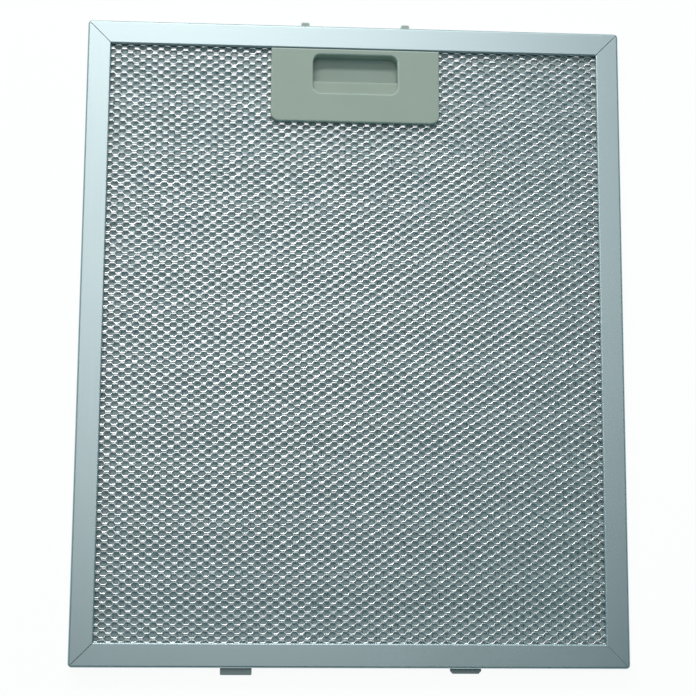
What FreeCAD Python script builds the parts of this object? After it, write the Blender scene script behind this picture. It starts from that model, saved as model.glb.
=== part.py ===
import FreeCAD, Part
import math
import os
import re

import Sketcher
from FreeCAD import Vector

# Cooker hood grease filter, lying on its back with the handle face up.
# X runs across the filter, Y from the hook tabs towards the latch, Z from the back to the front.
# The origin is the middle of the frame on its back face. Lengths are in millimetres.

SIZES = {
    # Frame, one strip of aluminium channel folded round the mesh pack
    "width": 253.0,
    "height": 300.0,
    "depth": 9.0,
    "sheet": 0.7,
    "face_width": 11.0,
    "lip_depth": 2.0,
    "bend_radius": 1.0,
    "lip_radius": 0.65,
    "corner_radius": 1.8,
    "mitre_gap": 0.2,
    "tight_mitre_gap": 0.08,
    # Hook tabs, lanced out of the bottom web
    "tab_width": 14.2,
    "tab_spacing": 104.0,
    "tab_level": 2.6,
    "left_tab_reach": 3.4,
    "right_tab_reach": 2.6,
    "left_tab_bevel": 0.3,
    "right_tab_bevel": 1.2,
    # Mesh pack, two face meshes with foil layers between them
    "pack_clearance": 0.15,
    "edge_clearance": 0.8,
    "mesh_rise": 0.8,
    "mesh_metal": 0.4,
    "mesh_long_pitch": 44.0,
    "mesh_short_pitch": 30.0,
    "strand_width": 5.0,
    "bond_length": 11.0,
    "foil": 0.2,
    "layer_clearance": 0.05,
    "layer_ridges": 12,
    "vents_across": 3,
    "vent_gap": 12.0,
    "vent_width": 6.0,
    # Handle front, with the finger opening
    "plate_width": 80.0,
    "plate_thickness": 1.8,
    "plate_gap": 0.3,
    "plate_overlap": 3.9,
    "plate_corner": 4.0,
    "plate_edge": 0.6,
    "seat_clearance": 0.1,
    "opening_width": 40.2,
    "opening_height": 18.9,
    "opening_corner": 3.5,
    "opening_margin": 2.5,
    "opening_edge": 0.5,
    "wall": 1.5,
    # Handle back, clipped over the handle front's skirt
    "cover_thickness": 1.4,
    "cover_overlap": 4.0,
    "rim_height": 2.8,
    "fit_clearance": 0.15,
    "barb_length": 7.0,
    "barb_height": 1.2,
    "barb_reach": 0.7,
    "barb_level": 1.0,
    # Latch slide and its return springs
    "travel": 4.0,
    "slide_clearance": 0.3,
    "bar_show": 6.3,
    "bar_depth": 8.3,
    "bar_edge": 0.8,
    "tongue_width": 4.0,
    "tongue_thickness": 3.0,
    "tongue_reach": 2.6,
    "tongue_bevel": 1.2,
    "tongue_round": 0.8,
    "spring_diameter": 3.2,
    "spring_wire": 0.4,
    "spring_turns": 5,
    "spring_spacing": 24.0,
    "spring_pocket": 4.5,
}

# Places worked out from the sizes
WINDOW_X = "(width / 2 - face_width)"
WINDOW_Y = "(height / 2 - face_width)"
PACK_X = "(width / 2 - sheet - edge_clearance)"
PACK_Y = "(height / 2 - sheet - edge_clearance)"
PACK_LOW = "(lip_depth + pack_clearance)"
PACK_TOP = "(depth - lip_depth - pack_clearance)"
LAYER_COUNT = 3
LAYER_STEP = f"(({PACK_TOP} - {PACK_LOW} - 2 * mesh_rise) / {LAYER_COUNT})"
LAYER_RISE = f"({LAYER_STEP} - layer_clearance)"

FRONT_SEAT = "(depth - lip_depth - seat_clearance)"
REAR_SEAT = "(lip_depth + seat_clearance)"
PLATE_TOP = f"({WINDOW_Y} - plate_gap)"
OPENING_X = "(opening_width / 2)"
OPENING_TOP = f"({PLATE_TOP} - opening_margin)"
OPENING_LOW = f"({OPENING_TOP} - opening_height)"
TUB_X = f"({OPENING_X} + wall)"
TUB_TOP = f"({OPENING_TOP} + wall)"
BAR_TOP = f"({OPENING_LOW} + bar_show)"
BAR_LOW = f"({BAR_TOP} - bar_depth)"
ARM_IN = f"({TUB_X} + slide_clearance)"
ARM_OUT = f"({ARM_IN} + tongue_width)"
ARM_LOW = "(depth / 2 - tongue_thickness / 2)"
SKIRT_IN = f"({ARM_OUT} + slide_clearance)"
SKIRT_OUT = f"({SKIRT_IN} + wall)"
SKIRT_FLOOR = f"({BAR_LOW} - travel - slide_clearance)"
SKIRT_LOW = f"({SKIRT_FLOOR} - wall)"
SKIRT_END = "(height / 2 - sheet - slide_clearance)"
RIM_IN = f"({SKIRT_OUT} + fit_clearance)"
RIM_OUT = f"({RIM_IN} + wall)"
RIM_HIGH = f"({SKIRT_LOW} - fit_clearance)"
RIM_LOW = f"({RIM_HIGH} - wall)"
NOTCH_X = f"({RIM_OUT} + edge_clearance)"
NOTCH_LOW = f"({RIM_LOW} - edge_clearance)"
PLATE_LOW = f"({NOTCH_LOW} - plate_overlap)"
COVER_X = f"({NOTCH_X} + cover_overlap)"
COVER_LOW = f"({NOTCH_LOW} - cover_overlap + plate_gap)"
BARB_LOW = f"({REAR_SEAT} + barb_level)"
BARB_MIDDLE = f"(({SKIRT_LOW} + {PLATE_TOP}) / 2)"
BARB_PLACES = (f"({BARB_MIDDLE} - barb_length)", f"({BARB_MIDDLE} + barb_length)")
SPRING_ROOM = "(spring_diameter / 2 + fit_clearance)"
SPRING_LEVEL = f"({REAR_SEAT} + {SPRING_ROOM})"
SPRING_LENGTH = f"({BAR_LOW} + spring_pocket - {SKIRT_FLOOR} - 2 * fit_clearance)"
SPIGOT_RADIUS = "(spring_diameter / 2 - spring_wire - fit_clearance)"
SPIGOT_LENGTH = "(travel / 2)"

NEAR = 1e-4  # two lengths closer than this are the same
PAST = 1.0  # how far a cut runs past the face it opens
COIL_SIDES = 10  # straight lengths of wire in one turn of a spring

doc = FreeCAD.newDocument("grease_filter")
sheet = doc.addObject("Spreadsheet::Sheet", "sizes")
for row, (alias, number) in enumerate(SIZES.items(), 1):
    sheet.set(f"A{row}", alias)
    sheet.set(f"B{row}", str(number))
    sheet.setAlias(f"B{row}", alias)
doc.recompute()


def formula(text):
    """An expression of size names, written as the document's expressions name the sheet's cells."""
    def cell(word):
        name = word.group()
        return f"sizes.{name}" if name in SIZES else name

    return re.sub("[a-z_]+", cell, text)


def amount(text):
    """What an expression of size names comes to."""
    return float(sheet.evalExpression(formula(text)))


def bind(item, path, text):
    """Ties a property of a document object to an expression of size names."""
    item.setExpression(path, formula(text))


# Sketches and features

def new_body(label):
    body = doc.addObject("PartDesign::Body", label)
    body.Label = label
    return body


def new_sketch(body, name, plane, lift="0"):
    """A sketch on one of the body's own planes, lifted along that plane's normal."""
    sketch = body.newObject("Sketcher::SketchObject", name)
    support = next(item for item in body.Origin.OriginFeatures if item.Role == plane)
    sketch.AttachmentSupport = [(support, "")]
    sketch.MapMode = "FlatFace"
    bind(sketch, "AttachmentOffset.Base.z", lift)
    return sketch


def place_point(sketch, geometry, point, x, y):
    """Holds one point of a sketch at a place given by two expressions."""
    for kind, text in (("DistanceX", x), ("DistanceY", y)):
        number = sketch.addConstraint(Sketcher.Constraint(kind, -1, 1, geometry, point, amount(text)))
        bind(sketch, f"Constraints[{number}]", text)


def polygon(sketch, corners):
    """A closed outline of straight lines with every corner placed."""
    points = [Vector(amount(x), amount(y), 0) for x, y in corners]
    first = sketch.GeometryCount
    for number, start in enumerate(points):
        sketch.addGeometry(Part.LineSegment(start, points[(number + 1) % len(points)]), False)
    for number, (x, y) in enumerate(corners):
        following = first + (number + 1) % len(points)
        sketch.addConstraint(Sketcher.Constraint("Coincident", first + number, 2, following, 1))
        place_point(sketch, first + number, 1, x, y)


def rectangle(sketch, left, low, right, high):
    polygon(sketch, [(left, low), (right, low), (right, high), (left, high)])


def even_rectangle(sketch, half_x, low, high):
    """A rectangle with the filter's middle line as its own."""
    rectangle(sketch, f"-{half_x}", low, half_x, high)


def arch(sketch, outer_x, inner_x, low, inner_end, outer_end):
    """A wall with two legs from low and a bridge between inner_end and outer_end."""
    polygon(sketch, [(f"-{outer_x}", low), (f"-{inner_x}", low), (f"-{inner_x}", inner_end),
                     (inner_x, inner_end), (inner_x, low), (outer_x, low),
                     (outer_x, outer_end), (f"-{outer_x}", outer_end)])


def circle(sketch, x, y, radius):
    place = Vector(amount(x), amount(y), 0)
    number = sketch.addGeometry(Part.Circle(place, Vector(0, 0, 1), amount(radius)), False)
    place_point(sketch, number, 3, x, y)
    bound = sketch.addConstraint(Sketcher.Constraint("Radius", number, amount(radius)))
    bind(sketch, f"Constraints[{bound}]", radius)


def grow(body, sketch, length, reverse=False):
    """Pads a sketch, and makes sure that this adds material."""
    before = body.Shape.Volume if body.Tip and body.Tip != sketch else 0
    pad = body.newObject("PartDesign::Pad", sketch.Name + "_pad")
    pad.Profile = sketch
    bind(pad, "Length", length)
    pad.Reversed = reverse
    doc.recompute()
    if body.Shape.Volume <= before + NEAR:
        raise ValueError(f"{pad.Name} adds nothing")
    return pad


def cut(body, sketch, length=None, reverse=False):
    """Pockets a sketch, right through where no length is given, and makes sure that this takes material."""
    before = body.Shape.Volume
    pocket = body.newObject("PartDesign::Pocket", sketch.Name + "_cut")
    pocket.Profile = sketch
    if length is None:
        pocket.Type = "ThroughAll"
        pocket.Midplane = True
    else:
        bind(pocket, "Length", length)
        pocket.Reversed = reverse
    doc.recompute()
    if body.Shape.Volume >= before - NEAR:
        raise ValueError(f"{pocket.Name} removes nothing")
    return pocket


def repeat(body, feature, along, spacing, count, across=None, spacing_across=None, count_across=None):
    """Copies a feature along one of the body's axes, and along a second one where it is given."""
    pattern = body.newObject("PartDesign::LinearPattern", feature.Name + "_row")
    pattern.Originals = [feature]
    axes = {item.Role: item for item in body.Origin.OriginFeatures}
    pattern.Direction = (axes[along], [""])
    pattern.Mode = "Spacing"
    bind(pattern, "Offset", spacing)
    bind(pattern, "Occurrences", count)
    if across:
        pattern.Direction2 = (axes[across], [""])
        pattern.Mode2 = "Spacing"
        bind(pattern, "Offset2", spacing_across)
        bind(pattern, "Occurrences2", count_across)
    body.Tip = pattern
    doc.recompute()
    return pattern


def soften(body, name, kind, size, chosen):
    """Rounds or bevels the edges of the body that a test chooses."""
    base = body.Tip
    names = [f"Edge{number}" for number, edge in enumerate(base.Shape.Edges, 1) if chosen(edge)]
    if not names:
        raise ValueError(f"{name} finds no edge")
    feature = body.newObject(kind, name)
    feature.Base = (base, names)
    bind(feature, "Radius" if kind.endswith("Fillet") else "Size", size)
    doc.recompute()
    return feature


def round_off(body, name, radius, chosen):
    return soften(body, name, "PartDesign::Fillet", radius, chosen)


def bevel(body, name, size, chosen):
    return soften(body, name, "PartDesign::Chamfer", size, chosen)


def same(one, other):
    return abs(one - other) < NEAR


def upright(edge):
    """A straight edge along Z."""
    box = edge.BoundBox
    return box.XLength < NEAR and box.YLength < NEAR


def level(edge, height):
    """An edge that lies in the plane at that height."""
    box = edge.BoundBox
    return same(box.ZMin, height) and same(box.ZMax, height)


def within(edge, half_x, low, high):
    """An edge that stays inside a rectangle about the filter's middle line."""
    box = edge.BoundBox
    inside_x = -half_x - NEAR < box.XMin and box.XMax < half_x + NEAR
    return inside_x and low - NEAR < box.YMin and box.YMax < high + NEAR


def at_end(edge, y):
    """An edge that lies in the plane at that place along Y."""
    box = edge.BoundBox
    return same(box.YMin, y) and same(box.YMax, y)


# Frame

def make_core():
    """The hollow of the channel, which is taken out of the frame's block."""
    core = new_body("channel_core")
    outline = new_sketch(core, "core_outline", "XY_Plane", "sheet")
    even_rectangle(outline, "(width / 2 - sheet)", "-(height / 2 - sheet)", "height / 2 - sheet")
    grow(core, outline, "depth - 2 * sheet")
    round_off(core, "core_corners", "corner_radius - sheet", upright)
    return core


def mitre_slit(sketch, sign_x, sign_y, gap, end):
    """A slit on the diagonal of one corner, from inside the window to a distance from the outer edges."""
    half = f"{gap} / 2"
    begin = f"(face_width + {PAST})"

    def at(distance, side_x, side_y):
        x = f"{sign_x} * (width / 2 - {distance} {side_x} {half})"
        y = f"{sign_y} * (height / 2 - {distance} {side_y} {half})"
        return x, y

    polygon(sketch, [at(begin, "+", "-"), at(end, "+", "-"), at(end, "-", "+"), at(begin, "-", "+")])


def make_frame():
    """Aluminium channel with lips turned in, mitred at the corners and folded, open at one corner."""
    body = new_body("channel_frame")
    outline = new_sketch(body, "frame_outline", "XY_Plane")
    even_rectangle(outline, "width / 2", "-height / 2", "height / 2")
    grow(body, outline, "depth")
    round_off(body, "frame_corners", "corner_radius", upright)
    depth = amount("depth")
    round_off(body, "frame_bends", "bend_radius", lambda edge: level(edge, 0) or level(edge, depth))

    hollow = body.newObject("PartDesign::Boolean", "frame_hollow")
    hollow.setObjects([make_core()])
    hollow.Type = "Cut"
    doc.recompute()

    window = new_sketch(body, "frame_window", "XY_Plane")
    even_rectangle(window, WINDOW_X, f"-{WINDOW_Y}", WINDOW_Y)
    cut(body, window)
    for name, lift in (("rear_lip", "0"), ("front_lip", "depth - lip_depth")):
        lip = new_sketch(body, name, "XY_Plane", lift)
        even_rectangle(lip, f"({WINDOW_X} + sheet)", f"-({WINDOW_Y} + sheet)", f"{WINDOW_Y} + sheet")
        even_rectangle(lip, WINDOW_X, f"-{WINDOW_Y}", WINDOW_Y)
        grow(body, lip, "lip_depth")

    window_x, window_y = amount(WINDOW_X), amount(WINDOW_Y)

    def lip_bend(edge):
        return (level(edge, 0) or level(edge, depth)) and within(edge, window_x, -window_y, window_y)

    round_off(body, "lip_bends", "lip_radius", lip_bend)

    slits = new_sketch(body, "mitre_slits", "XY_Plane")
    kept = "(corner_radius * (1 - 1 / sqrt(2)) + sheet)"
    for sign_x, sign_y, gap in ((1, 1, "mitre_gap"), (1, -1, "tight_mitre_gap"), (-1, -1, "mitre_gap")):
        mitre_slit(slits, sign_x, sign_y, gap, kept)
    mitre_slit(slits, -1, 1, "mitre_gap", f"(-{PAST})")
    cut(body, slits)

    slots = new_sketch(body, "tongue_slots", "XZ_Plane", f"-(height / 2 - sheet - {PAST})")
    slot_low, slot_top = f"{ARM_LOW} - slide_clearance", f"{ARM_LOW} + tongue_thickness + slide_clearance"
    for side in (1, -1):
        near, far = f"{side} * ({ARM_IN} - slide_clearance)", f"{side} * ({ARM_OUT} + slide_clearance)"
        rectangle(slots, near, slot_low, far, slot_top)
    cut(body, slots, f"sheet + 2 * {PAST}")

    hook_tab(body, "left", -1)
    hook_tab(body, "right", 1)
    return body


def hook_tab(body, name, side):
    """A tongue cut on three sides in the bottom web and bent outwards, with the window that it leaves."""
    reach, bevel = f"{name}_tab_reach", f"{name}_tab_bevel"
    left = f"({side} * tab_spacing / 2 - tab_width / 2)"
    right = f"({side} * tab_spacing / 2 + tab_width / 2)"
    window = new_sketch(body, f"{name}_tab_window", "XZ_Plane", f"height / 2 - sheet - {PAST}")
    rectangle(window, left, "tab_level + sheet", right, f"tab_level + sheet + {reach}")
    cut(body, window, f"sheet + 2 * {PAST}", reverse=True)
    tongue = new_sketch(body, f"{name}_tab", "XY_Plane", "tab_level")
    end = f"(-height / 2 - {reach})"
    root = "-(height / 2 - sheet)"
    polygon(tongue, [(left, root), (left, f"{end} + {bevel}"), (f"{left} + {bevel}", end),
                     (f"{right} - {bevel}", end), (right, f"{end} + {bevel}"), (right, root)])
    grow(body, tongue, "sheet")


# Mesh pack

def pack_outline(low, height):
    """A solid of the pack's outline, with the notch for the handle, over a stretch of Z."""
    x, y = amount(PACK_X), amount(PACK_Y)
    notch_x, notch_low = amount(NOTCH_X), amount(NOTCH_LOW)
    corners = [(-x, -y), (x, -y), (x, y), (notch_x, y), (notch_x, notch_low),
               (-notch_x, notch_low), (-notch_x, y), (-x, y)]
    wire = Part.makePolygon([Vector(a, b, low) for a, b in corners + corners[:1]])
    return Part.Face(wire).extrude(Vector(0, 0, height))


def skin(sections):
    """A solid through a row of four-cornered sections. A side that isn't flat is made of two triangles."""
    rings = [sections[0], sections[-1]]
    for one, other in zip(sections, sections[1:]):
        for corner in range(4):
            after = (corner + 1) % 4
            ring = [one[corner], one[after], other[after], other[corner]]
            twist = (ring[1] - ring[0]).cross(ring[2] - ring[0]).dot(ring[3] - ring[0])
            rings += [ring] if abs(twist) < NEAR else [ring[:3], [ring[0], ring[2], ring[3]]]
    faces = [Part.Face(Part.makePolygon(ring + ring[:1])) for ring in rings]
    return Part.makeSolid(Part.makeShell(faces))


def strand(row, count):
    """One zig-zag strand of an expanded sheet. Its lower edge stands forward of its upper edge."""
    long_pitch, row_pitch = amount("mesh_long_pitch"), amount("mesh_short_pitch") / 2
    wide, bond, metal = amount("strand_width"), amount("bond_length"), amount("mesh_metal")
    tilt = (amount("mesh_rise") - metal) / 2
    swing = (row_pitch - wide) / 2
    sections = []
    for half in range(-count, count + 1):
        way = 1 if (half + row) % 2 == 0 else -1
        y, z = row * row_pitch + swing * way, tilt / 2 * way
        for x in (half * long_pitch / 2 - bond / 2, half * long_pitch / 2 + bond / 2):
            sections.append([Vector(x, y + wide / 2 * side, z - tilt / 2 * side + metal / 2 * front)
                             for side, front in ((-1, 1), (1, 1), (1, -1), (-1, -1))])
    return skin(sections)


def make_mesh(label, middle):
    """An expanded aluminium sheet: zig-zag strands joined at their bonds, trimmed to the pack's outline."""
    rows = math.ceil(amount(PACK_Y) / (amount("mesh_short_pitch") / 2)) + 1
    halves = math.ceil(amount(PACK_X) / (amount("mesh_long_pitch") / 2)) + 1
    strands = [strand(row, halves) for row in range(-rows, rows + 1)]
    sheet_solid = strands[0].multiFuse(strands[1:])
    rise = amount("mesh_rise")
    trimmed = sheet_solid.common(pack_outline(-rise, 2 * rise)).removeSplitter()
    mesh = doc.addObject("Part::Feature", label)
    mesh.Label = label
    mesh.Shape = max(trimmed.Solids, key=lambda solid: solid.Volume)
    bind(mesh, "Placement.Base.z", middle)
    doc.recompute()
    return mesh


def make_layer(number):
    """A crimped foil layer: ridges across or along the filter, with rows of vents."""
    body = new_body(f"filter_layer_{number}")
    low = f"({PACK_LOW} + mesh_rise + layer_clearance / 2 + {number - 1} * {LAYER_STEP})"
    crosswise = number % 2 == 1
    length, span = (PACK_Y, PACK_X) if crosswise else (PACK_X, PACK_Y)
    plane, axis, other = ("YZ_Plane", "Y_Axis", "X_Axis") if crosswise else ("XZ_Plane", "X_Axis", "Y_Axis")
    pitch = f"(2 * {length} / layer_ridges)"
    crest = f"({low} + {LAYER_RISE})"
    ridge = new_sketch(body, f"ridge_{number}", plane, f"-{span}")
    start = f"-{length}"
    top, end = f"{start} + {pitch} / 2", f"{start} + {pitch}"
    polygon(ridge, [(start, low), (top, f"{crest} - foil"), (end, low),
                    (end, f"{low} + foil"), (top, crest), (start, f"{low} + foil")])
    pad = grow(body, ridge, f"2 * {span}")
    repeat(body, pad, axis, pitch, "layer_ridges")
    vent = new_sketch(body, f"vent_{number}", "XY_Plane")
    step = f"(2 * {span} / vents_across)"
    ends = (f"{start} + {pitch} / 4 - vent_width / 2", f"{start} + {pitch} / 4 + vent_width / 2")
    sides = (f"-{span} + vent_gap / 2", f"-{span} + {step} - vent_gap / 2")
    (left, right), (near, far) = (sides, ends) if crosswise else (ends, sides)
    rectangle(vent, left, near, right, far)
    repeat(body, cut(body, vent), axis, pitch, "layer_ridges", other, step, "vents_across")
    notch = new_sketch(body, f"layer_notch_{number}", "XY_Plane")
    even_rectangle(notch, NOTCH_X, NOTCH_LOW, f"{PACK_Y} + {PAST}")
    cut(body, notch)
    return body


# Handle

def make_handle_front():
    """The moulded handle plate, its skirt through the pack, and the walls of the finger recess."""
    body = new_body("handle_front")
    plate = new_sketch(body, "handle_plate", "XY_Plane", FRONT_SEAT)
    even_rectangle(plate, "plate_width / 2", PLATE_LOW, PLATE_TOP)
    grow(body, plate, "plate_thickness")
    low_edge = amount(PLATE_LOW)
    round_off(body, "plate_corners", "plate_corner", lambda edge: upright(edge) and at_end(edge, low_edge))

    skirt = new_sketch(body, "handle_skirt", "XY_Plane", REAR_SEAT)
    arch(skirt, SKIRT_OUT, SKIRT_IN, SKIRT_END, SKIRT_FLOOR, SKIRT_LOW)
    grow(body, skirt, f"{FRONT_SEAT} - {REAR_SEAT}")
    tub = new_sketch(body, "finger_tub", "XY_Plane", REAR_SEAT)
    arch(tub, TUB_X, OPENING_X, f"({BAR_TOP} + slide_clearance)", OPENING_TOP, TUB_TOP)
    grow(body, tub, f"{FRONT_SEAT} - {REAR_SEAT}")
    opening = new_sketch(body, "finger_opening", "XY_Plane", f"{FRONT_SEAT} + plate_thickness")
    even_rectangle(opening, OPENING_X, OPENING_LOW, OPENING_TOP)
    cut(body, opening, "plate_thickness")

    side, top, low = amount(OPENING_X), amount(OPENING_TOP), amount(OPENING_LOW)

    def opening_corner(edge):
        at_side = same(abs(edge.BoundBox.XMin), side)
        return upright(edge) and at_side and (at_end(edge, top) or at_end(edge, low))

    round_off(body, "opening_corners", "opening_corner", opening_corner)
    front, top_edge = amount(f"{FRONT_SEAT} + plate_thickness"), amount(PLATE_TOP)

    def opening_rim(edge):
        return level(edge, front) and within(edge, side, low, top)

    bevel(body, "opening_rim", "opening_edge", opening_rim)

    def plate_rim(edge):
        by_opening = within(edge, side + PAST, low - PAST, top + PAST)
        return level(edge, front) and not by_opening and not at_end(edge, top_edge)

    round_off(body, "plate_rim", "plate_edge", plate_rim)

    spigots = new_sketch(body, "spring_spigots", "XZ_Plane", f"-({SKIRT_FLOOR} - wall / 2)")
    for way in (1, -1):
        circle(spigots, f"{way} * spring_spacing / 2", SPRING_LEVEL, SPIGOT_RADIUS)
    grow(body, spigots, f"{SPIGOT_LENGTH} + wall / 2", reverse=True)

    for number, middle in enumerate(BARB_PLACES, 1):
        barbs = new_sketch(body, f"snap_barbs_{number}", "XZ_Plane", f"-({middle} + barb_length / 2)")
        for way in (1, -1):
            root, foot = f"{way} * ({SKIRT_OUT} - wall / 2)", f"{way} * {SKIRT_OUT}"
            tip, barb_top = f"{way} * ({SKIRT_OUT} + barb_reach)", f"{BARB_LOW} + barb_height"
            polygon(barbs, [(root, BARB_LOW), (foot, BARB_LOW), (tip, barb_top), (root, barb_top)])
        grow(body, barbs, "barb_length")
    return body


def make_handle_back():
    """The cover behind the handle. Its inside is the floor of the finger recess."""
    body = new_body("handle_back")
    plate = new_sketch(body, "cover_plate", "XY_Plane", f"{REAR_SEAT} - cover_thickness")
    even_rectangle(plate, COVER_X, COVER_LOW, PLATE_TOP)
    grow(body, plate, "cover_thickness")
    round_off(body, "cover_corners", "plate_corner", upright)
    back = amount(f"{REAR_SEAT} - cover_thickness")
    bevel(body, "cover_edge", "opening_edge", lambda edge: level(edge, back))
    rim = new_sketch(body, "cover_rim", "XY_Plane", REAR_SEAT)
    arch(rim, RIM_OUT, RIM_IN, PLATE_TOP, RIM_HIGH, RIM_LOW)
    grow(body, rim, "rim_height")
    windows = new_sketch(body, "snap_windows", "YZ_Plane")
    half = "(barb_length / 2 + fit_clearance)"
    window_low, window_top = f"{BARB_LOW} - fit_clearance", f"{BARB_LOW} + barb_height + fit_clearance"
    for middle in BARB_PLACES:
        rectangle(windows, f"{middle} - {half}", window_low, f"{middle} + {half}", window_top)
    cut(body, windows)
    return body


def make_latch_slide():
    """The latch: a finger bar with two arms, whose ends pass through the top web as tongues."""
    body = new_body("latch_slide")
    low = f"({REAR_SEAT} + slide_clearance)"
    bar = new_sketch(body, "finger_bar", "XY_Plane", low)
    even_rectangle(bar, ARM_OUT, BAR_LOW, BAR_TOP)
    grow(body, bar, f"{FRONT_SEAT} - slide_clearance - {low}")
    bar_top, front = amount(BAR_TOP), amount(f"{FRONT_SEAT} - slide_clearance")
    round_off(body, "bar_lip", "bar_edge", lambda edge: level(edge, front) and at_end(edge, bar_top))

    arms = new_sketch(body, "latch_arms", "XY_Plane", ARM_LOW)
    tip = "(height / 2 + tongue_reach)"
    for side in (1, -1):
        rectangle(arms, f"{side} * {ARM_IN}", f"{BAR_TOP} - bar_depth / 2", f"{side} * {ARM_OUT}", tip)
    grow(body, arms, "tongue_thickness")
    end = amount(tip)
    round_off(body, "tongue_corners", "tongue_round", lambda edge: upright(edge) and at_end(edge, end))
    ramp = new_sketch(body, "tongue_ramps", "YZ_Plane")
    heel, beyond = f"{tip} - tongue_bevel", f"{tip} + {PAST}"
    under, over = f"{ARM_LOW} - {PAST}", f"{ARM_LOW} + tongue_bevel + {PAST}"
    polygon(ramp, [(heel, under), (beyond, under), (beyond, over), (heel, ARM_LOW)])
    cut(body, ramp)

    pockets = new_sketch(body, "spring_pockets", "XY_Plane", low)
    for side in (1, -1):
        middle = f"{side} * spring_spacing / 2"
        left, right = f"{middle} - {SPRING_ROOM}", f"{middle} + {SPRING_ROOM}"
        rectangle(pockets, left, f"{BAR_LOW} - {PAST}", right, f"{BAR_LOW} + spring_pocket")
    cut(body, pockets, f"{SPRING_LEVEL} + {SPRING_ROOM} - {low}", reverse=True)
    return body


def make_spring(label, side):
    """A coil spring between the skirt's floor and the end of its pocket in the finger bar."""
    inner, outer = amount("spring_diameter / 2 - spring_wire"), amount("spring_diameter / 2")
    wire, rise = amount("spring_wire"), amount(f"{SPRING_LENGTH} - spring_wire")
    steps = round(amount("spring_turns")) * COIL_SIDES
    sections = []
    for step in range(steps + 1):
        angle = 2 * math.pi * step / COIL_SIDES
        low = rise * step / steps
        across, up = math.cos(angle), math.sin(angle)
        corners = ((inner, low), (outer, low), (outer, low + wire), (inner, low + wire))
        sections.append([Vector(radius * across, y, radius * up) for radius, y in corners])
    spring = doc.addObject("Part::Feature", label)
    spring.Label = label
    spring.Shape = skin(sections)
    bind(spring, "Placement.Base.x", f"{side} * spring_spacing / 2")
    bind(spring, "Placement.Base.y", f"{SKIRT_FLOOR} + fit_clearance")
    bind(spring, "Placement.Base.z", SPRING_LEVEL)
    doc.recompute()
    return spring


def main():
    pieces = [
        make_frame(),
        make_mesh("front_mesh", f"{PACK_TOP} - mesh_rise / 2"),
        *(make_layer(number) for number in range(1, LAYER_COUNT + 1)),
        make_mesh("rear_mesh", f"{PACK_LOW} + mesh_rise / 2"),
        make_handle_front(),
        make_handle_back(),
        make_latch_slide(),
        make_spring("left_latch_spring", -1),
        make_spring("right_latch_spring", 1),
    ]
    doc.recompute()
    failed = [item.Label for item in doc.Objects if {"Invalid", "Error"} & set(item.State)]
    failed += [piece.Label for piece in pieces if piece.Shape.isNull() or not piece.Shape.isValid()]
    if failed:
        raise ValueError(f"these objects failed: {failed}")
    os.makedirs("parts", exist_ok=True)
    for piece in pieces:
        piece.Shape.exportStep(f"parts/{piece.Label}.step")
        print(piece.Label, len(piece.Shape.Solids), "solid", round(piece.Shape.Volume, 1), "mm3")


main()
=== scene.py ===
import math
from typing import NamedTuple

import bpy
import numpy as np
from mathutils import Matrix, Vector


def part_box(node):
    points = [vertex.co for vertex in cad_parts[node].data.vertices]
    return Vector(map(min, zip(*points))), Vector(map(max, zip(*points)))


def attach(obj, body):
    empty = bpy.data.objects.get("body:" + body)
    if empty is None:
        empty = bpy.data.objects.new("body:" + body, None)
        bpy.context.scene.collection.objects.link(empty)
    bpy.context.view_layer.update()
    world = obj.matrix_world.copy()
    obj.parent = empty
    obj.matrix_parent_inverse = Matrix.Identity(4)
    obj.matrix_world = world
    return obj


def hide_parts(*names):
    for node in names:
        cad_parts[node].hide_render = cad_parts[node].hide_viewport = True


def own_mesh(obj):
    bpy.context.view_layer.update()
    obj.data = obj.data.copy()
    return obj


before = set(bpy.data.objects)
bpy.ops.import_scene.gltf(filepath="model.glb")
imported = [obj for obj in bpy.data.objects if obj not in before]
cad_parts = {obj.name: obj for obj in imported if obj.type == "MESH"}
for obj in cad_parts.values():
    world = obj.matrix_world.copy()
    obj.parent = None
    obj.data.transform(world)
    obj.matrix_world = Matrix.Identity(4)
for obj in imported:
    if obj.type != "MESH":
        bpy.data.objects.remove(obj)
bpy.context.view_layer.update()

MM = 0.001
SEED = 7

# The camera, as the photograph's perspective gives it
CAMERA_PLACE = (-0.0426, -0.1057, 0.6934)
CAMERA_TURN_DEG = (8.343, -3.390, 0.365)
CAMERA_CLIP_START = 0.01
SENSOR_WIDTH = 36.0
FRAME_PIXELS = 696
FOCAL_PIXELS = 1500

# The key gives the shadows and the mesh's glints, the overhead lamp the frame's sheen
KEY_DIRECTION = (-0.24, 0.97, 1.0)
KEY_DISTANCE = 1.5
KEY_SIZE = (1.2, 0.16)
KEY_POWER = 8.6
OVERHEAD_DIRECTION = (-0.045, 0.225, 1.0)
OVERHEAD_DISTANCE = 1.3
OVERHEAD_SIZE = (0.9, 0.9)
OVERHEAD_POWER = 3.4

# The room: the heights between which the walls turn into ceiling, and the strength opposite the key
WALL_COLOUR = (0.34, 0.69, 0.755)
CEILING_COLOUR = (0.04, 0.102, 0.116)
WALL_SPAN = (0.1, 0.95)
DARK_SIDE = 0.4

# The floor, and the share and strength of the white that the camera sees on it
FLOOR_SIZE = 12.0
FLOOR_COLOUR = (0.88, 0.89, 0.89)
FLOOR_ROUGHNESS = (0.85, 0.95)
FLOOR_GLOW = 0.9
FLOOR_WHITE = 1.04


class Finish(NamedTuple):
    """The darker and the lighter base colour of a surface, and its range of roughness."""
    dark: tuple
    light: tuple
    roughness: tuple


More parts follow.
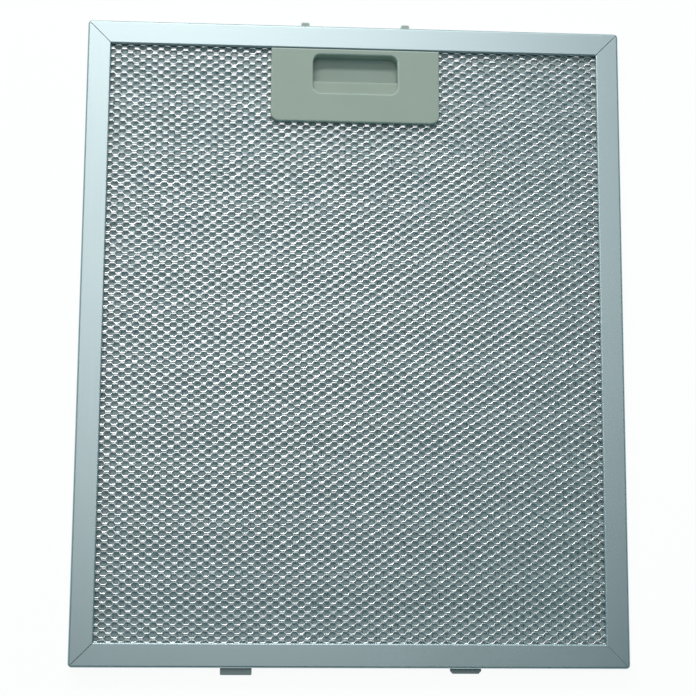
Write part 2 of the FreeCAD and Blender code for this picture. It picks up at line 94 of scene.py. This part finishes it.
FRAME_FINISH = Finish((0.535, 0.61, 0.62), (0.555, 0.63, 0.64), (0.42, 0.46))
MESH_FINISH = Finish((0.88, 0.845, 0.835), (0.94, 0.905, 0.895), (0.3, 0.38))
FOIL_FINISH = Finish((0.50, 0.55, 0.555), (0.60, 0.65, 0.655), (0.75, 0.95))
PLASTIC_FINISH = Finish((0.46, 0.50, 0.41), (0.48, 0.52, 0.43), (0.5, 0.62))
SPRING_FINISH = Finish((0.42, 0.42, 0.42), (0.55, 0.55, 0.54), (0.28, 0.42))

# The darker and the lighter base colour of the hook tabs: painted shade, as the frame above shades them
SHADED_TAB_TONES = ((0.34, 0.39, 0.39), (0.37, 0.42, 0.42))

# The range that a noise mostly keeps to
NOISE_RANGE = (0.3, 0.7)

# The frame's drawing lines, in waves per metre, and what they add to its roughness
LINES_ACROSS = 3200
LINES_ALONG = 22
LINES_DEEP = 800
LINE_ROUGHNESS = (-0.025, 0.025)

# The mesh's rolling marks, in waves per metre
ROLLING_MARKS = (900, 5200, 900)

# The moulded parts' rounded edges: how far the normal turns before an edge takes its full painted
# highlight, and its look
EDGE_RADIUS = 0.9 * MM
EDGE_SAMPLES = 8
EDGE_HIGHLIGHT_MATCH = 0.9
EDGE_SMOOTHNESS = 0.2
HANDLE_EDGE_HIGHLIGHT = (0.80, 0.86, 0.80)
LATCH_EDGE_HIGHLIGHT = (0.92, 0.98, 0.92)

# The heights between which the finger recess is painted darker as painted shade, and what is left of
# its colour
RECESS_DEPTH = (3.0 * MM, 6.0 * MM)
RECESS_SHADE_SHARE = (0.80, 0.86, 0.90)


class Expanded(NamedTuple):
    """A sheet that was slit and stretched: rows of strands that meet at bonds.

    A strand has a wide face that leans one way and, along its upper side, a cut edge that leans the
    other way. The edge runs out at a bond with the strand above, where the two wide faces are one.
    """
    long_pitch: float
    short_pitch: float
    strand: float
    cut_edge: float
    bond: float
    lean: float
    cut_lean: float
    bond_lean: float
    metal: float
    unevenness: float


FACE_SHEET = Expanded(
    long_pitch=5.75 * MM, short_pitch=3.9 * MM,
    strand=0.75 * MM, cut_edge=0.28 * MM, bond=1.9 * MM,
    lean=0.32, cut_lean=0.35, bond_lean=0.18,
    metal=0.05 * MM, unevenness=0.008 * MM)
FOIL_SHEET = Expanded(
    long_pitch=10.0 * MM, short_pitch=6.4 * MM,
    strand=3.1 * MM, cut_edge=0.4 * MM, bond=3.0 * MM,
    lean=0.05, cut_lean=0.25, bond_lean=0.02,
    metal=0.1 * MM, unevenness=0.02 * MM)

# Stations of a strand for each bond: the bond's two ends, and a place on the leg after it
STATIONS = 3
LEG_STATION = 2

# Where on a leg the cut edge starts to run out, as a share of the climb to the bond above
EDGE_RUN = 0.8
SHEET_SHARP_ANGLE = math.radians(25)
FOIL_RIDGES = 12

# How far the sheets reach under the handle's plate
COVER_OVERLAP = 3.9 * MM

# The coil springs
SPRING_TURNS = 5
SPRING_END_TURNS = 1
SPRING_WIRE = 0.4 * MM
WIRE_SIDES = 8
TURN_STEPS = 24


class Nodes:
    """A node tree, with short ways to add a node and feed its sockets."""

    def __init__(self, tree):
        self.tree = tree

    def feed(self, socket, value):
        if isinstance(value, bpy.types.NodeSocket):
            self.tree.links.new(value, socket)
        else:
            socket.default_value = value

    def add(self, kind, inputs=None, **settings):
        node = self.tree.nodes.new("ShaderNode" + kind)
        for key, value in settings.items():
            setattr(node, key, value)
        for key, value in (inputs or {}).items():
            self.feed(node.inputs[key], value)
        return node

    def math(self, operation, *values):
        inputs = dict(enumerate(values))
        return self.add("Math", inputs, operation=operation).outputs[0]

    def match(self, one, other):
        """How nearly two directions agree, from -1 to 1."""
        return self.add("VectorMath", {0: one, 1: other}, operation="DOT_PRODUCT").outputs["Value"]

    def ramp(self, factor, span, low, high):
        """A colour that goes from low to high as the factor goes through the span."""
        node = self.add("ValToRGB", {"Fac": factor})
        for stop, position, colour in zip(node.color_ramp.elements, span, (low, high)):
            stop.position = position
            stop.color = (*colour, 1)
        return node.outputs["Color"]

    def mixed(self, factor, low, high):
        """A colour between two. A Mix node has its colours' sockets after those of other kinds."""
        return self.add("Mix", {0: factor, 6: low, 7: high}, data_type="RGBA").outputs[2]


class Look(Nodes):
    """One material's nodes."""

    def __init__(self, name):
        self.material = bpy.data.materials.new(name)
        self.material.use_nodes = True
        super().__init__(self.material.node_tree)
        self.shader = self.tree.nodes["Principled BSDF"]

    def set(self, **values):
        for key, value in values.items():
            self.feed(self.shader.inputs[key.replace("_", " ")], value)

    def place(self):
        return self.add("TexCoord").outputs["Object"]

    def stretched(self, vector, scale):
        return self.add("Mapping", {"Vector": vector, "Scale": scale}).outputs[0]

    def noise(self, vector, scale=1.0, detail=3.0, roughness=0.55):
        inputs = {"Vector": vector, "Scale": scale, "Detail": detail, "Roughness": roughness}
        return self.add("TexNoise", inputs).outputs["Fac"]

    def between(self, factor, low, high):
        """A number that goes from low to high as a noise goes through its usual range."""
        span = {"From Min": NOISE_RANGE[0], "From Max": NOISE_RANGE[1]}
        return self.add("MapRange", {"Value": factor, **span, "To Min": low, "To Max": high}).outputs[0]

    def tint(self, factor, low, high):
        """A colour that goes from low to high as a noise goes through its usual range."""
        return self.ramp(factor, NOISE_RANGE, low, high)

    def rounded_edges(self):
        """The normal of softly rounded edges, and how far it leans from the face's own."""
        normal = self.add("Bevel", {"Radius": EDGE_RADIUS}, samples=EDGE_SAMPLES).outputs[0]
        face = self.add("NewGeometry").outputs["True Normal"]
        span = {"From Min": 1.0, "From Max": EDGE_HIGHLIGHT_MATCH}
        lean = self.add("MapRange", {"Value": self.match(normal, face), **span}).outputs[0]
        return normal, lean

    def bump(self, height, distance, strength, under=None):
        inputs = {"Height": height, "Distance": distance, "Strength": strength}
        if under is not None:
            inputs["Normal"] = under
        return self.add("Bump", inputs).outputs["Normal"]


# Materials

def frame_aluminium():
    """Satin strip, with faint drawing lines along each member, and painted shade that darkens the hook
    tabs.
    """
    look = Look("frame_aluminium")
    place = look.place()
    parts = look.add("SeparateXYZ", {"Vector": place}).outputs
    across = look.math("ABSOLUTE", parts["X"])
    along = look.math("ABSOLUTE", parts["Y"])
    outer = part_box("channel_frame")[1]
    on_side = look.math("GREATER_THAN", look.math("ADD", across, outer.y - outer.x), along)
    side_lines = look.noise(look.stretched(place, (LINES_ACROSS, LINES_ALONG, LINES_DEEP)))
    end_lines = look.noise(look.stretched(place, (LINES_ALONG, LINES_ACROSS, LINES_DEEP)))
    lines = look.add("Mix", {"Factor": on_side, "A": end_lines, "B": side_lines}).outputs[0]
    cloud = look.noise(place, scale=26.0)
    strip = look.tint(cloud, FRAME_FINISH.dark, FRAME_FINISH.light)
    # The hook tabs take a darker colour: painted shade from the frame above them
    shaded_tab = look.tint(cloud, *SHADED_TAB_TONES)
    on_tab = look.math("LESS_THAN", parts["Y"], -outer.y)
    satin = look.between(cloud, *FRAME_FINISH.roughness)
    look.set(Metallic=1.0, IOR=1.45)
    look.set(Base_Color=look.mixed(on_tab, strip, shaded_tab))
    look.set(Roughness=look.math("ADD", satin, look.between(lines, *LINE_ROUGHNESS)))
    look.set(Normal=look.bump(lines, distance=0.004 * MM, strength=0.35))
    return look.material


def mesh_aluminium():
    """Rolled sheet as it comes from the press: bright, with fine rolling marks."""
    look = Look("mesh_aluminium")
    place = look.place()
    cloud = look.noise(place, scale=40.0)
    marks = look.noise(look.stretched(place, ROLLING_MARKS))
    look.set(Metallic=1.0)
    look.set(Base_Color=look.tint(cloud, MESH_FINISH.dark, MESH_FINISH.light))
    look.set(Roughness=look.between(marks, *MESH_FINISH.roughness))
    look.set(Normal=look.bump(marks, distance=0.01 * MM, strength=0.3))
    return look.material


def foil_aluminium():
    """Thin dull foil of the inner layers."""
    look = Look("foil_aluminium")
    crumple = look.noise(look.place(), scale=420.0)
    look.set(Metallic=1.0)
    look.set(Base_Color=look.tint(crumple, FOIL_FINISH.dark, FOIL_FINISH.light))
    look.set(Roughness=look.between(crumple, *FOIL_FINISH.roughness))
    look.set(Normal=look.bump(crumple, distance=0.08 * MM, strength=0.5))
    return look.material


def recess_shaded(colour):
    """A colour darkened by painted shade, as it is at the bottom of the finger recess."""
    return [part * share for part, share in zip(colour, RECESS_SHADE_SHARE)]


def moulded_plastic(name, edge_highlight):
    """Grey-green plastic with a fine grain, smoother edges painted paler as a painted highlight, and
    painted shade in the recess.
    """
    look = Look(name)
    place = look.place()
    cloud = look.noise(place, scale=60.0)
    grain = look.noise(place, scale=4200.0, detail=2.0)
    swell = look.noise(place, scale=90.0, detail=1.0)
    edge, lean = look.rounded_edges()
    # Painted shade: the colour darkens towards the bottom of the finger recess
    height = look.add("SeparateXYZ", {"Vector": place}).outputs["Z"]
    span = {"From Min": RECESS_DEPTH[0], "From Max": RECESS_DEPTH[1]}
    out_of_shade = look.add("MapRange", {"Value": height, **span}).outputs[0]
    shaded_deep = look.tint(cloud, recess_shaded(PLASTIC_FINISH.dark), recess_shaded(PLASTIC_FINISH.light))
    shallow = look.tint(cloud, PLASTIC_FINISH.dark, PLASTIC_FINISH.light)
    faces = look.mixed(out_of_shade, shaded_deep, shallow)
    rough = look.between(grain, *PLASTIC_FINISH.roughness)
    fine = look.bump(grain, distance=0.02 * MM, strength=0.35, under=edge)
    # Painted highlight: edges take a paler base colour where the normal leans
    look.set(Base_Color=look.mixed(lean, faces, (*edge_highlight, 1)))
    look.set(Roughness=look.math("SUBTRACT", rough, look.math("MULTIPLY", lean, EDGE_SMOOTHNESS)))
    look.set(Normal=look.bump(swell, distance=0.12 * MM, strength=0.25, under=fine))
    return look.material


def spring_steel():
    """Drawn spring wire."""
    look = Look("spring_steel")
    marks = look.noise(look.place(), scale=3000.0)
    look.set(Metallic=1.0)
    look.set(Base_Color=look.tint(marks, SPRING_FINISH.dark, SPRING_FINISH.light))
    look.set(Roughness=look.between(marks, *SPRING_FINISH.roughness))
    return look.material


# Expanded sheets

def strand_points(kind, reach_along, reach_across):
    """The corners of every strand, which runs along X, and where it is joined to the strand above.

    A strand steps up and down between its bonds with the strand above and the strand below. Its
    corners at each station are the lower side, the crest and the upper side.
    """
    half_pitch = kind.long_pitch / 2
    row_pitch = kind.short_pitch / 2
    leg = half_pitch - kind.bond
    bonds = int((reach_along - kind.bond / 2) / half_pitch)
    rows = int((reach_across - row_pitch / 2) / row_pitch)
    bond = np.repeat(np.arange(-bonds, bonds + 1), STATIONS)[:-1]
    station = np.tile(np.arange(STATIONS), 2 * bonds + 1)[:-1]
    row = np.arange(-rows, rows + 1)[:, None]
    from_above = (row + bond) % 2 == 0
    on_leg = station == LEG_STATION
    on_leg_at = kind.bond / 2 + leg * np.where(from_above, 1 - EDGE_RUN, EDGE_RUN)
    climb = np.where(on_leg, EDGE_RUN, from_above)
    joined = climb == 1

    across = np.array((-kind.strand / 2, kind.strand / 2 - kind.cut_edge, kind.strand / 2))
    rise = kind.lean * (kind.strand - kind.cut_edge)
    free = np.array((-rise, 0, -kind.cut_lean * kind.cut_edge))
    bond_crest = kind.metal - kind.bond_lean * kind.cut_edge
    bonded = np.array((-kind.bond_lean * kind.strand, bond_crest, 0)) - rise
    x = bond * half_pitch + np.where(on_leg, on_leg_at, (station - 0.5) * kind.bond)
    y = across[:, None, None] + row * row_pitch + (climb - 0.5) * (row_pitch - kind.strand)
    z = np.where(joined, bonded[:, None, None], free[:, None, None] + climb * bonded[1])
    return np.stack(np.broadcast_arrays(x, y, z), -1), joined


def strand_mesh(points, joined, chosen):
    """The chosen lengths of the strands as closed bars, which meet along the lines of their bonds.

    The underside's faces start one corner later, so that they split along the same diagonal as the
    faces above.
    """
    points = points.copy()
    points[2, :-1] = np.where(joined[:-1, :, None], points[0, 1:], points[2, :-1])
    index = np.arange(points[..., 0].size).reshape(points.shape[:3])
    after = np.roll(index, -1, 0)
    sides = np.stack((index[..., :-1], index[..., 1:], after[..., 1:], after[..., :-1]), -1)
    sides[2] = np.roll(sides[2], 1, -1)
    sides = sides[:, chosen]
    run = np.diff(np.pad(chosen, ((0, 0), (1, 1))).astype(int), axis=1)
    caps = np.concatenate((index[:, run == 1].T, index[::-1, run == -1].T))
    corners = np.concatenate((sides.ravel(), caps.ravel()))
    used, corner = np.unique(corners, return_inverse=True)
    side_faces = corner[:sides.size].reshape(-1, 4).tolist()
    cap_faces = corner[sides.size:].reshape(-1, 3).tolist()
    return points.reshape(-1, 3)[used], side_faces + cap_faces


def strand_middles(points):
    """Where the middle of each length of strand lies, along X and Y."""
    middle = points.mean(0)
    middle = (middle[:, :-1] + middle[:, 1:]) / 2
    return middle[..., 0], middle[..., 1]


def outside_notch(x, y):
    """Which places lie clear of the notch that the handle's skirt fills."""
    skirt_low, skirt_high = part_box("handle_back")
    return (np.abs(x) > skirt_high.x - COVER_OVERLAP) | (y < skirt_low.y + COVER_OVERLAP)


def mesh_object(name, points, faces, material):
    """A smooth-shaded piece in the scene."""
    mesh = bpy.data.meshes.new(name)
    mesh.from_pydata(points, [], faces)
    mesh.materials.append(material)
    mesh.shade_smooth()
    piece = bpy.data.objects.new(name, mesh)
    bpy.context.scene.collection.objects.link(piece)
    return piece


def sheet_object(name, points, faces, material):
    """A sheet with sharp crests and a flat map of its surface, as seen from above."""
    piece = mesh_object(name, points, faces, material)
    piece.data.set_sharp_from_angle(angle=SHEET_SHARP_ANGLE)
    flat = points[np.concatenate(faces), :2]
    flat = (flat - flat.min(0)) / np.ptp(flat, 0).max()
    piece.data.uv_layers.new(name="OFBake").uv.foreach_set("vector", flat.ravel())
    return piece


def stand_for(piece, node):
    """The piece rides on the filter in place of a CAD node."""
    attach(piece, "filter")
    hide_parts(node)


def add_face_sheet(node, over, seed, material):
    """A fine sheet in place of the coarse one, against the lip that holds it, in two halves."""
    low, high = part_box(node)
    points, joined = strand_points(FACE_SHEET, high.x, high.y)
    x, y = strand_middles(points)
    points = points + np.random.default_rng(seed).normal(0, FACE_SHEET.unevenness, points.shape)
    crest = points[..., 2].max()
    for half, on_half in (("upper", y > 0), ("lower", y <= 0)):
        places, faces = strand_mesh(points, joined, outside_notch(x, y) & on_half)
        if over:
            places = places * (-1, 1, -1) + (0, 0, low.z + crest)
        else:
            places = places + (0, 0, high.z - crest)
        sheet = sheet_object(f"{node}_strands_{half}", places, faces, material)
        stand_for(sheet, node)


def add_foil(node, crosswise, seed, material):
    """A crimped layer of expanded foil, with the ridges of the CAD layer."""
    low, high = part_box(node)
    reach = (high.y, high.x) if crosswise else (high.x, high.y)
    points, joined = strand_points(FOIL_SHEET, *reach)
    if crosswise:
        points = np.stack((-points[..., 1], points[..., 0], points[..., 2]), -1)
    clear = outside_notch(*strand_middles(points))
    points = points + np.random.default_rng(seed).normal(0, FOIL_SHEET.unevenness, points.shape)
    run = points[..., 1] if crosswise else points[..., 0]
    phase = (run / reach[0] + 1) / 2 * FOIL_RIDGES % 1
    ridge = 1 - np.abs(2 * phase - 1)
    spare = (high.z - low.z) - np.ptp(points[..., 2])
    points[..., 2] += low.z - points[..., 2].min() + ridge * max(spare, 0)
    places, faces = strand_mesh(points, joined, clear)
    stand_for(sheet_object(node + "_foil", places, faces, material), node)


# Springs

def add_spring(node, material):
    """A round-wire coil spring with closed ends, of the kind the latch presses together; here it keeps
    its length.
    """
    low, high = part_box(node)
    middle = (low + high) / 2
    length = high.y - low.y
    radius = (high.x - low.x - SPRING_WIRE) / 2
    turns = SPRING_TURNS + 2 * SPRING_END_TURNS
    turn = np.linspace(0, turns, turns * TURN_STEPS + 1)
    closed = SPRING_END_TURNS * SPRING_WIRE
    rise = length - SPRING_WIRE
    marks = (0, SPRING_END_TURNS, turns - SPRING_END_TURNS, turns)
    y = np.interp(turn, marks, (0, closed, rise - closed, rise))

    axis = np.array((0, 1, 0))
    angle = 2 * math.pi * turn
    outward = np.stack((np.cos(angle), np.zeros_like(angle), np.sin(angle)), -1)
    line = outward * radius + np.outer(y + SPRING_WIRE / 2, axis)
    around = 2 * math.pi * np.arange(WIRE_SIDES)[:, None] / WIRE_SIDES
    ring = np.cos(around) * outward[:, None] + np.sin(around) * axis
    points = (line[:, None] + ring * SPRING_WIRE / 2).reshape(-1, 3) + (middle.x, low.y, middle.z)
    index = np.arange(len(points)).reshape(-1, WIRE_SIDES)
    beside = np.roll(index, -1, 1)
    sides = np.stack((index[:-1], beside[:-1], beside[1:], index[1:]), -1).reshape(-1, 4)
    faces = sides.tolist() + [index[0, ::-1].tolist(), index[-1].tolist()]

    coil = mesh_object(node + "_coil", points, faces, material)
    stand_for(coil, node)
    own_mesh(coil)


# Studio

def add_floor():
    """A white floor that keeps the object's shadow."""
    bpy.ops.mesh.primitive_plane_add(size=FLOOR_SIZE)
    floor = bpy.context.object
    floor.name = "floor"
    look = Look("floor_paper")
    rays = look.add("LightPath").outputs
    seen = look.math("MAXIMUM", rays["Is Camera Ray"], rays["Is Glossy Ray"])
    seen = look.math("MAXIMUM", seen, rays["Is Transmission Ray"])
    glow = look.math("MULTIPLY", seen, FLOOR_GLOW)
    grain = look.noise(look.place(), scale=900.0)
    look.set(Base_Color=(*FLOOR_COLOUR, 1), Roughness=look.between(grain, *FLOOR_ROUGHNESS))
    white = look.add("Emission", {"Color": (1, 1, 1, 1), "Strength": FLOOR_WHITE}).outputs[0]
    mix = look.add("MixShader", {0: glow, 1: look.shader.outputs[0], 2: white})
    look.feed(look.tree.nodes["Material Output"].inputs["Surface"], mix.outputs[0])
    floor.data.materials.append(look.material)


def add_lamp(name, direction, distance, size, power):
    """A soft oval lamp that faces the object."""
    data = bpy.data.lights.new(name, "AREA")
    data.shape = "ELLIPSE"
    data.size, data.size_y = size
    data.energy = power
    lamp = bpy.data.objects.new(name, data)
    toward = Vector(direction).normalized()
    lamp.location = toward * distance
    lamp.rotation_mode = "QUATERNION"
    lamp.rotation_quaternion = toward.to_track_quat("Z", "Y")
    bpy.context.scene.collection.objects.link(lamp)


def add_world():
    """A room with a dark ceiling, and pale walls that are darker opposite the key."""
    world = bpy.data.worlds.new("room")
    bpy.context.scene.world = world
    world.use_nodes = True
    room = Nodes(world.node_tree)
    direction = room.add("TexCoord").outputs["Generated"]
    height = room.add("SeparateXYZ", {"Vector": direction}).outputs["Z"]
    key_side = Vector((*KEY_DIRECTION[:2], 0)).normalized()
    toward_key = room.match(direction, key_side)
    level = room.add("MapRange", {"Value": toward_key, "From Min": -1.0, "To Min": DARK_SIDE})
    background = world.node_tree.nodes["Background"]
    room.feed(background.inputs["Color"], room.ramp(height, WALL_SPAN, WALL_COLOUR, CEILING_COLOUR))
    room.feed(background.inputs["Strength"], level.outputs[0])


def add_camera():
    """The photograph's camera."""
    data = bpy.data.cameras.new("camera")
    data.sensor_width = SENSOR_WIDTH
    data.lens = SENSOR_WIDTH * FOCAL_PIXELS / FRAME_PIXELS
    data.clip_start = CAMERA_CLIP_START
    camera = bpy.data.objects.new("camera", data)
    camera.location = CAMERA_PLACE
    camera.rotation_euler = [math.radians(turn) for turn in CAMERA_TURN_DEG]
    bpy.context.scene.collection.objects.link(camera)
    bpy.context.scene.camera = camera


def dress(node, material):
    """A CAD node keeps its shape and takes a finished material."""
    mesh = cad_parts[node].data
    mesh.materials.clear()
    mesh.materials.append(material)


bpy.context.scene.view_settings.view_transform = "Standard"

# What a new file holds
for name in ("Cube", "Light", "Camera"):
    if name in bpy.data.objects:
        bpy.data.objects.remove(bpy.data.objects[name])

dress("channel_frame", frame_aluminium())
handle = moulded_plastic("handle_plastic", HANDLE_EDGE_HIGHLIGHT)
dress("handle_front", handle)
dress("handle_back", handle)
dress("latch_slide", moulded_plastic("latch_plastic", LATCH_EDGE_HIGHLIGHT))

sheet_metal = mesh_aluminium()
add_face_sheet("front_mesh", False, SEED, sheet_metal)
add_face_sheet("rear_mesh", True, SEED + 1, sheet_metal)
foil = foil_aluminium()
for number in (1, 2, 3):
    add_foil(f"filter_layer_{number}", number % 2 == 1, SEED + 1 + number, foil)
wire = spring_steel()
for side in ("left", "right"):
    add_spring(f"{side}_latch_spring", wire)

add_floor()
add_lamp("key", KEY_DIRECTION, KEY_DISTANCE, KEY_SIZE, KEY_POWER)
add_lamp("overhead", OVERHEAD_DIRECTION, OVERHEAD_DISTANCE, OVERHEAD_SIZE, OVERHEAD_POWER)
add_world()
add_camera()
